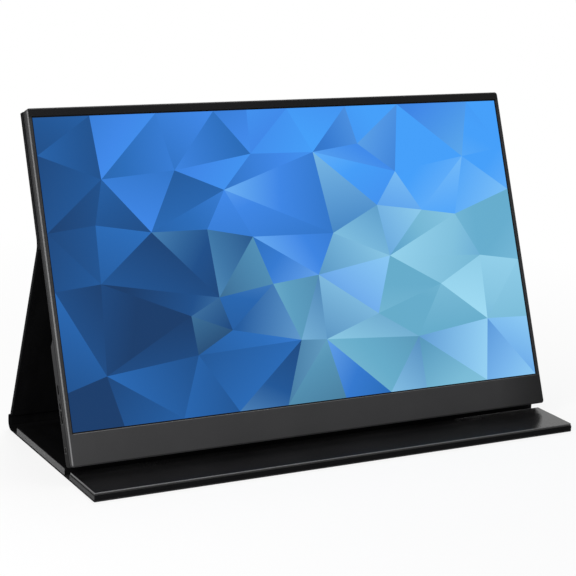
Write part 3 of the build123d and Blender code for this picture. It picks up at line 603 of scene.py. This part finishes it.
def picture_glow():
    """Lit picture of flat blue facets, each with a slight slope of tone, in a black surround."""
    made, s, surface = material("picture_glow", 0.34, 0.06)
    across, _, height = screen_axes(s)
    right = s.math("MULTIPLY_ADD", across, 1 / PICTURE[0], 0.5)
    up = s.math("MULTIPLY", height, 1 / PICTURE[1])
    centre = s.add("ShaderNodeAttribute", attribute_name="facet_centre").outputs["Vector"]
    centre_right, centre_up, chance = s.split(centre)

    # Slope of tone over one facet, in a heading that its chance gives
    heading = s.math("MULTIPLY", chance, 47.0)
    slope_right = s.both(s.math("SUBTRACT", right, centre_right), s.math("COSINE", heading))
    slope_up = s.both(s.math("SUBTRACT", up, centre_up), s.math("SINE", heading))
    slope = s.math("MULTIPLY_ADD", slope_right, 1.8, slope_up)

    # Blues, from dark at the lower left to bright at the upper right
    climb = s.math("MULTIPLY_ADD", centre_right, 0.62, s.math("MULTIPLY", centre_up, 0.50))
    climb = s.math("ADD", climb, s.math("MULTIPLY_ADD", chance, 0.46, -0.23))
    climb = s.math("MULTIPLY_ADD", slope, 0.75, climb)
    blues = s.add("ShaderNodeValToRGB", {"Fac": climb})
    set_stops(
        blues,
        [
            (0.04, (0.0045, 0.042, 0.145, 1)),
            (0.28, (0.009, 0.088, 0.30, 1)),
            (0.52, (0.018, 0.150, 0.50, 1)),
            (0.76, (0.045, 0.245, 0.82, 1)),
            (1.00, (0.055, 0.350, 0.97, 1)),
        ],
    )

    # Pale facets round one place at the right, fading with distance from it
    pale_right, pale_up = 0.84, 0.34
    away_right = s.math("MULTIPLY", s.math("SUBTRACT", centre_right, pale_right), 1.9)
    away_up = s.math("MULTIPLY", s.math("SUBTRACT", centre_up, pale_up), 1.7)
    squares = s.math("ADD", s.math("POWER", away_right, 2.0), s.math("POWER", away_up, 2.0))
    away = s.math("MULTIPLY_ADD", slope, -0.9, s.math("SQRT", squares))
    away = s.math("ADD", away, s.math("MULTIPLY_ADD", chance, 0.5, -0.25))
    pale = s.spread(away, 0.92, 0.30, 0.0, 0.92)
    pale_tone = s.spread(s.math("MULTIPLY_ADD", slope, 1.2, chance), 0.1, 0.9)
    pale_blues = s.mix(pale_tone, (0.14, 0.44, 0.62, 1), (0.38, 0.76, 0.92, 1))
    colour = s.mix(pale, blues.outputs[0], pale_blues)

    # Fine columns of pixels, and nothing lit outside the picture
    columns = s.spread(waves(s, "SINE", across, PIXEL_PITCH), -1, 1)
    colour = s.mix(0.05, colour, s.mix(columns, grey(0.0), grey(1.0)), "MULTIPLY")
    shown = s.both(inside(s, right), inside(s, up))
    s.feed(surface["Emission Color"], s.mix(shown, grey(0.0), colour))
    s.feed(surface["Emission Strength"], 1.0)
    s.feed(surface["Base Color"], s.mix(s.noise(s.position(), 1800.0), grey(0.003), grey(0.006)))
    s.feed(surface["Normal"], s.bump(s.noise(s.position(), 5200.0, 2.0), 0.004 * MM))
    return made


def inside(s, value):
    """1 where a share of the picture is between 0 and 1."""
    return s.both(s.math("GREATER_THAN", value, 0.0), s.math("LESS_THAN", value, 1.0))


def set_stops(ramp, stops):
    """Colour stops of a ramp, in order."""
    bar = ramp.color_ramp
    while len(bar.elements) < len(stops):
        bar.elements.new(0.5)
    for element, (place, colour) in zip(bar.elements, stops):
        element.position = place
        element.color = colour


finishes = {
    "front_frame": front_plastic(),
    "rear_shell": shell_plastic(),
    "lcd_cell": panel_glass(),
    "optical_films": milky_film("diffuser_film", grey(0.66), grey(0.82), 0.45),
    "light_guide": milky_film("guide_acrylic", (0.55, 0.66, 0.66, 1), (0.7, 0.78, 0.78, 1), 0.15),
    "reflector_sheet": milky_film("reflector_film", grey(0.74), grey(0.86), 0.35),
    "led_bar": lamp_strip(),
    "status_light": clear_rod(),
    "heat_spreader": spreader_metal(),
    "hump_feet": bumper_rubber(),
}
sound_pieces = ["headphone_jack", "speaker_left", "speaker_right", "speaker_leads"]
shared = [
    (black_plastic(), ["video_processor", "control_switches", *sound_pieces]),
    (key_plastic(), ["power_button", "menu_rocker"]),
    (port_shell(), ["usb_c_port_left", "usb_c_port_right", "mini_hdmi_port"]),
    (sheet_steel(), ["panel_tray", "rocker_pin", "lower_steel_strip", "cover_plate"]),
    (screw_steel(), ["case_screws", "board_screws"]),
    (magnet_metal(), ["floor_magnets", "flap_magnets", "back_panel_magnets"]),
    (circuit_board(), ["driver_board", "main_board", "side_port_board", "button_board"]),
    (amber_film(), ["panel_flexes", "display_cable", "link_cable"]),
]
for finish, names in shared:
    finishes.update({name: finish for name in names})

leather = cover_leather("cover_leather", 0.16)
spine_leather = cover_leather("spine_leather", 0.03)
board_leather = turned_leather()
# Pad leather with a painted highlight along its rim
pad_leather_painted_rim = pad_leather()
edge_leather = wrapped_edge()
lining = soft_lining()


def dress(name, finish):
    """Gives a piece of the frame its finish."""
    slots = nodes[name].material_slots
    if not slots:
        nodes[name].data.materials.append(finish)
    for place in slots:
        place.link = "OBJECT"
        place.material = finish


for name, finish in finishes.items():
    dress(name, finish)


# Mesh helpers


def make(bm, name, finish, body, replaced, place=None):
    """Object from a mesh, put in place and finished, with its large faces shaded flat.

    It rides on a body, or, where body is (first, second, start, end), is left in place with its
    transform baked in.
    """
    bmesh.ops.recalc_face_normals(bm, faces=bm.faces)
    if place is not None:
        bmesh.ops.transform(bm, matrix=place, verts=bm.verts)
    mesh = bpy.data.meshes.new(name)
    bm.to_mesh(mesh)
    bm.free()
    mesh.shade_smooth()
    mesh.set_sharp_from_angle(angle=SMOOTH_ANGLE)
    for face in mesh.polygons:
        face.use_smooth = face.area < FLAT_AREA
    mesh.materials.append(finish)
    piece = bpy.data.objects.new(name, mesh)
    bpy.context.scene.collection.objects.link(piece)
    if isinstance(body, tuple):
        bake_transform(piece)
    else:
        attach(piece, body)
    if replaced:
        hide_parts(*replaced)


def sharp_edges(bm):
    """Edges where two faces meet at more than the sharp angle."""
    two_sided = [edge for edge in bm.edges if len(edge.link_faces) == 2]
    return [edge for edge in two_sided if edge.calc_face_angle() > SHARP_ANGLE]


def round_edges(bm, radius, segments=3, edges=None):
    """Rounds the given edges, or all sharp ones."""
    bmesh.ops.bevel(
        bm,
        geom=sharp_edges(bm) if edges is None else edges,
        offset=radius,
        segments=segments,
        affect="EDGES",
        profile=0.5,
        material=-1,
        clamp_overlap=True,
    )


def block(x, y, z):
    """Block between a pair of limits on each axis."""
    bm = bmesh.new()
    bmesh.ops.create_cube(bm, size=1.0)
    size = [high - low for low, high in (x, y, z)]
    middle = [(low + high) / 2 for low, high in (x, y, z)]
    bmesh.ops.scale(bm, vec=size, verts=bm.verts)
    bmesh.ops.translate(bm, vec=middle, verts=bm.verts)
    return bm


def wide_block(inset, depth, height):
    """Block as wide as the cover, less an inset at each end."""
    return block((-COVER_SIDE + inset, COVER_SIDE - inset), depth, height)


def is_upright(edge):
    """True for an edge that runs along Z."""
    start, end = (vert.co for vert in edge.verts)
    return abs(start.z - end.z) > (start.xy - end.xy).length * 5


def round_corners(bm, inset=0.0):
    """Rounds the two upright edges at the front of a flap layer, the left one less."""
    front = min(vert.co.y for vert in bm.verts)
    for side, radius in zip((-1, 1), FLAP_CORNERS):
        edges = [edge for edge in bm.edges if all(vert.co.y < front + 1e-6 for vert in edge.verts)]
        edges = [edge for edge in edges if is_upright(edge) and edge.verts[0].co.x * side > 0]
        round_edges(bm, radius - inset, 5, edges)


def box_limits(name):
    """Limits of a frame node on each axis."""
    low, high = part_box(name)
    return list(zip(low, high))


def smooth_path(points, corner, steps):
    """Path of (y, z) points whose inner corners are curves that start a set way before them."""
    path = [Vector(points[0])]
    for before, here, after in zip(points, points[1:], points[2:]):
        start = here + (before - here).normalized() * min(corner, (before - here).length / 2)
        end = here + (after - here).normalized() * min(corner, (after - here).length / 2)
        for count in range(steps + 1):
            t = count / steps
            path.append(start * (1 - t) ** 2 + here * 2 * t * (1 - t) + end * t * t)
    path.append(Vector(points[-1]))
    return path


def arc(centre, radius, start, end, steps):
    """Points of an arc in side view, by its angles in degrees from +Y towards +Z."""
    turns = [radians(start + (end - start) * count / steps) for count in range(steps + 1)]
    return [Vector(centre) + Vector((cos(turn), sin(turn))) * radius for turn in turns]


def strip(path, thickness, half_width):
    """Strip of leather along X, whose middle line in side view is a path of (y, z) points."""
    bm = bmesh.new()
    pairs = []
    for before, here, after in zip(path[:1] + path, path, path[1:] + path[-1:]):
        along = (after - before).normalized()
        out = Vector((-along.y, along.x)) * thickness / 2
        pairs.append([bm.verts.new((-half_width, *point)) for point in (here + out, here - out)])
    for (upper, lower), (next_upper, next_lower) in zip(pairs, pairs[1:]):
        bm.faces.new((upper, lower, next_lower, next_upper))
    sweep(bm, 2 * half_width)
    return bm


def new_verts(grown):
    """Points among what an extrusion made."""
    return [item for item in grown["geom"] if isinstance(item, bmesh.types.BMVert)]


def sweep(bm, length):
    """Extends the flat outline of a mesh along X into a solid."""
    moved = new_verts(bmesh.ops.extrude_face_region(bm, geom=bm.faces[:]))
    bmesh.ops.translate(bm, vec=(length, 0, 0), verts=moved)
    bmesh.ops.recalc_face_normals(bm, faces=bm.faces)


# The picture


def picture_points(rng):
    """Corner points of the facets: an uneven scatter, in which the outer ones stay on the edges."""
    points = []
    for row in range(FACET_ROWS + 1):
        for column in range(FACET_COLUMNS + 1):
            u, v = column / FACET_COLUMNS, row / FACET_ROWS
            if 0 < column < FACET_COLUMNS:
                u += rng.uniform(-SCATTER_ACROSS, SCATTER_ACROSS) / FACET_COLUMNS
            if 0 < row < FACET_ROWS:
                v += rng.uniform(-SCATTER_UP, SCATTER_UP) / FACET_ROWS
            points.append(Vector((u, v)))
    return points


def open_edges(bm):
    """Edges of a single face, along the rim of a sheet."""
    return [edge for edge in bm.edges if edge.is_boundary]


def picture_sheet():
    """Front sheet with the facets of the picture and a plain border."""
    rng = random.Random(PICTURE_SEED)
    result = delaunay_2d_cdt(picture_points(rng), [], [], 0, 1e-6)
    points, facets = result[0], result[2]
    bm = bmesh.new()
    width, height = PICTURE
    verts = [bm.verts.new(((p.x - 0.5) * width, FILM_FRONT, p.y * height)) for p in points]
    tint = bm.faces.layers.float_vector.new("facet_centre")
    for facet in facets:
        face = bm.faces.new([verts[index] for index in facet])
        centre = sum((points[index] for index in facet), Vector((0, 0))) / 3
        face[tint] = (centre.x, centre.y, rng.random())
    for vert in new_verts(bmesh.ops.extrude_edge_only(bm, edges=open_edges(bm))):
        vert.co.x += FILM_REACH * sign(vert.co.x, width / 2)
        vert.co.z += FILM_REACH * sign(vert.co.z - height / 2, height / 2)
    back = new_verts(bmesh.ops.extrude_edge_only(bm, edges=open_edges(bm)))
    bmesh.ops.translate(bm, vec=(0, FILM_BACK - FILM_FRONT, 0), verts=back)
    bmesh.ops.holes_fill(bm, edges=open_edges(bm), sides=0)
    finish, replaced = picture_glow(), ["screen_film"]
    make(bm, "picture_sheet", finish, "monitor", replaced, on_monitor)


def sign(value, limit):
    """-1 or 1 for a value at the end of its range, and 0 elsewhere."""
    if abs(abs(value) - limit) > 1e-6:
        return 0
    return 1 if value > 0 else -1


picture_sheet()


# The cover


def floor_leather():
    """Outer leather under the base, one strip from the flap's front edge to the rear board."""
    front = box_limits("flap_skin")[1][0]
    back = spine_low.y - 7.5 * MM
    middle = LEATHER / 2
    in_groove = [flap_fold.y + GROOVE * (count / 10 - 0.5) for count in range(11)]
    bm = strip([Vector((y, middle)) for y in (front, *in_groove, back)], LEATHER, COVER_SIDE)
    round_corners(bm)
    round_edges(bm, LEATHER_ROUNDING, 2)
    start = (0, flap_fold.y + GROOVE / 2, middle)
    end = (0, flap_fold.y - GROOVE / 2, middle)
    bodies = ("base", "front_flap", start, end)
    replaced = ["rear_floor_skin", "flap_skin"]
    make(bm, "floor_leather", leather, bodies, replaced)


def heel_leather():
    """Leather that leaves the rear floor board and sweeps up behind the spine."""
    middle = LEATHER / 2
    sweep_radius = 4.6 * MM
    flat_start, flat_step = spine_low.y - 9.5 * MM, 1.2 * MM
    path = [Vector((flat_start + flat_step * count, middle)) for count in range(6)]
    centre = (spine_low.y + SPINE_BACK - sweep_radius, middle + sweep_radius)
    path += arc(centre, sweep_radius, -90, 0, 12)
    path.append(Vector((spine_low.y + SPINE_BACK, 5.8 * MM)))
    bm = strip(path, LEATHER * 0.98, COVER_SIDE - 0.05 * MM)
    round_edges(bm, SPINE_ROUNDING, 2)
    start = (0, spine_low.y - 6.0 * MM, middle)
    end = (0, spine_low.y + SPINE_BACK, 4.0 * MM)
    make(bm, "heel_leather", spine_leather, ("base", "spine", start, end), [])


def rear_floor():
    """Wrapped board and lining of the rear half of the base."""
    x, y, z = box_limits("rear_floor_board")
    turned_over = 0.55 * MM
    bm = block(x, y, (z[0], z[1] + turned_over))
    round_edges(bm, BOARD_ROUNDING)
    make(bm, "rear_board", edge_leather, "base", ["rear_floor_board"])
    x, y, z = box_limits("rear_floor_lining")
    side_inset, front_inset, sunk = 0.9 * MM, 0.6 * MM, 0.3 * MM
    sides = (x[0] + side_inset, x[1] - side_inset)
    bm = block(sides, (y[0] + front_inset, y[1]), (z[0] - sunk, z[1]))
    round_edges(bm, LEATHER_ROUNDING)
    make(bm, "rear_lining", lining, "base", ["rear_floor_lining"])


def front_flap():
    """Wrapped board and raised pad of the front flap."""
    bm = block(*box_limits("flap_board"))
    round_corners(bm)
    round_edges(bm, BOARD_ROUNDING)
    make(bm, "flap_wrapped_board", edge_leather, "front_flap", ["flap_board"])
    x, y, z = box_limits("flap_pad")
    sunk = 0.3 * MM
    bm = block(x, y, (z[0] - sunk, z[1]))
    round_corners(bm, PAD_INSET)
    round_edges(bm, 0.5 * MM, 4)
    make(bm, "flap_top_pad", pad_leather_painted_rim, "front_flap", ["flap_pad"])


def spine():
    """Stiff strip of the spine, standing in front of its leather."""
    x, y, z = box_limits("spine_board")
    end_inset, forward, thinner = 1.2 * MM, 0.2 * MM, 0.4 * MM
    bm = block((x[0] + end_inset, x[1] - end_inset), (y[0] - forward, y[1] - thinner), z)
    round_edges(bm, BOARD_ROUNDING)
    make(bm, "spine_strip", lining, "spine", ["spine_board"])


def ankle_leather():
    """Leather that runs up the spine, curls over its head and lies down on the leg."""
    head_radius = 1.3 * MM
    head_centre = leg_root + Vector((SPINE_BACK - head_radius, 1.1 * MM))
    head = arc(head_centre, head_radius, 0, 75, 6)
    on_to_leg = [leg_root + leg_up * reach * MM for reach in (3.4, 6.0)]
    curl = smooth_path([head[-1], *on_to_leg], 0.7 * MM, 4)
    path = [Vector((leg_root.x + SPINE_BACK, 5.4 * MM))] + head + curl[1:]
    path += [leg_root + leg_up * reach * MM for reach in (7.5, 9.0, 10.5)]
    bm = strip(path, LEATHER, COVER_SIDE)
    round_edges(bm, SPINE_ROUNDING, 2)
    start = (0, leg_root.x + 0.6 * MM, leg_root.y + 0.8 * MM)
    end = (0, *(leg_root + leg_up * 6.5 * MM))
    bodies = ("spine", "leg", start, end)
    make(bm, "ankle_leather", spine_leather, bodies, ["spine_skin"])


def back_leather():
    """Outer leather of the leg and the upper panel, one strip over the back fold."""
    bend = 4.5 * MM
    top = panel_root + panel_up * (COVER_TOP - FOLD_HEIGHT)
    path = smooth_path([leg_root + leg_up * 9.0 * MM, panel_root, top], bend, 10)
    bm = strip(path, LEATHER, COVER_SIDE)
    round_edges(bm, LEATHER_ROUNDING, 2)
    start, end = (0, *(panel_root - leg_up * bend)), (0, *(panel_root + panel_up * bend))
    bodies = ("leg", "monitor", start, end)
    replaced = ["leg_skin", "back_panel_skin"]
    make(bm, "back_leather", leather, bodies, replaced)


def leg_inside():
    """Board and lining in front of the leg's leather, by their height up the leg."""
    low, high = 4.25 * MM, LEG_LENGTH - FOLD_GAP
    bm = wide_block(0.0, (-2.0 * MM, -0.5 * MM), (low, high))
    round_edges(bm, BOARD_ROUNDING)
    make(bm, "leg_wrapped_board", board_leather, "leg", ["leg_board"], on_leg)
    end_inset = 0.2 * MM
    bm = wide_block(0.3 * MM, (-2.4 * MM, -1.8 * MM), (low + end_inset, high - end_inset))
    round_edges(bm, 0.18 * MM, 2)
    make(bm, "leg_soft_lining", lining, "leg", ["leg_lining"], on_leg)


def panel_inside():
    """Board and pad of the cover's upper panel, by depth behind the screen and height up it."""
    low, high = FOLD_HEIGHT + FOLD_GAP, COVER_TOP
    bm = wide_block(0.0, (8.0 * MM, 11.3 * MM), (low, high))
    round_edges(bm, BOARD_ROUNDING)
    replaced = ["back_panel_board"]
    make(bm, "panel_wrapped_board", board_leather, "monitor", replaced, on_monitor)
    inset = 0.2 * MM
    bm = wide_block(inset, (7.2 * MM, 8.2 * MM), (low + inset, high - inset))
    round_edges(bm, 0.15 * MM, 2)
    make(bm, "panel_soft_pad", lining, "monitor", ["back_panel_pad"], on_monitor)


floor_leather()
heel_leather()
rear_floor()
front_flap()
spine()
ankle_leather()
back_leather()
leg_inside()
panel_inside()


# Stage, light and camera


def seen_rays(s):
    """1 for rays that show a surface, straight or mirrored, and 0 for those that light it."""
    ray = s.add("ShaderNodeLightPath").outputs
    indirect = s.either(ray["Is Glossy Ray"], ray["Is Transmission Ray"])
    return s.either(ray["Is Camera Ray"], indirect)


def floor():
    """Wide pale floor that keeps the soft shadow of the part and fades to white round it."""
    bm = bmesh.new()
    bmesh.ops.create_circle(bm, cap_ends=True, segments=64, radius=14.0)
    mesh = bpy.data.meshes.new("floor")
    bm.to_mesh(mesh)
    bm.free()
    plane = bpy.data.objects.new("floor", mesh)
    plane.location.z = -0.3 * MM
    bpy.context.scene.collection.objects.link(plane)
    made = bpy.data.materials.new("pale_floor")
    s = cleared(made)
    speckle = s.noise(s.position(), 8.0)
    matte = s.add("ShaderNodeBsdfDiffuse", {"Color": s.mix(speckle, grey(0.86), grey(0.88))})
    glow = s.add("ShaderNodeEmission", {"Color": grey(1.0), "Strength": 1.0})
    distance = s.add("ShaderNodeVectorMath", {"Vector": s.position()}, operation="LENGTH")
    fade_start, fade_end = 0.19, 0.6
    far = s.spread(distance.outputs["Value"], fade_start, fade_end, 0.84, 1.0)
    blend = s.add("ShaderNodeMixShader", {"Fac": s.both(seen_rays(s), far)})
    s.feed(blend.inputs[1], matte.outputs[0])
    s.feed(blend.inputs[2], glow.outputs[0])
    s.add("ShaderNodeOutputMaterial", {"Surface": blend.outputs[0]})
    mesh.materials.append(made)


def surroundings():
    """Even pale surroundings, white where they are seen."""
    world = bpy.data.worlds.new("studio")
    bpy.context.scene.world = world
    s = cleared(world)
    strength = s.spread(seen_rays(s), 0.0, 1.0, 0.24, 1.0)
    background = s.add("ShaderNodeBackground", {"Color": grey(1.0), "Strength": strength})
    s.add("ShaderNodeOutputWorld", {"Surface": background.outputs[0]})


def softbox(name, place, aim, size, power):
    """Rectangular area lamp that faces a point."""
    lamp = bpy.data.lights.new(name, "AREA")
    lamp.shape = "RECTANGLE"
    lamp.size, lamp.size_y = size
    lamp.energy = power
    box = bpy.data.objects.new(name, lamp)
    box.location = place
    box.rotation_euler = (Vector(aim) - Vector(place)).to_track_quat("-Z", "Y").to_euler()
    bpy.context.scene.collection.objects.link(box)


def camera():
    """Camera at the photo's viewing place, in front of the part, to its left and above it."""
    data = bpy.data.cameras.new("camera")
    view = bpy.data.objects.new("camera", data)
    bpy.context.scene.collection.objects.link(view)
    data.sensor_width = SENSOR_WIDTH
    data.lens = SENSOR_WIDTH * FOCAL_PIXELS / PHOTO_WIDTH
    data.clip_end = 50.0
    level = Vector((cos(CAMERA_YAW), -sin(CAMERA_YAW), 0.0))
    ahead = Vector((sin(CAMERA_YAW), cos(CAMERA_YAW), 0.0)) * cos(CAMERA_PITCH)
    ahead.z = -sin(CAMERA_PITCH)
    upright = level.cross(ahead)
    right = level * cos(CAMERA_ROLL) + upright * sin(CAMERA_ROLL)
    up = upright * cos(CAMERA_ROLL) - level * sin(CAMERA_ROLL)
    turn = Matrix((right, up, -ahead)).transposed().to_4x4()
    place = Vector((-CAMERA_LEFT, picture_low.y - CAMERA_FRONT, CAMERA_HEIGHT))
    view.matrix_world = Matrix.Translation(place) @ turn
    bpy.context.scene.camera = view


floor()
surroundings()
softbox("left_box", (-0.84, -0.46, 0.34), aim=(-0.10, 0.0, 0.10), size=(0.30, 0.55), power=8.0)
softbox("back_box", (0.35, 0.55, 1.45), aim=(0.0, 0.0, 0.1), size=(0.9, 0.9), power=14.0)
camera()
bpy.context.scene.view_settings.view_transform = "Standard"
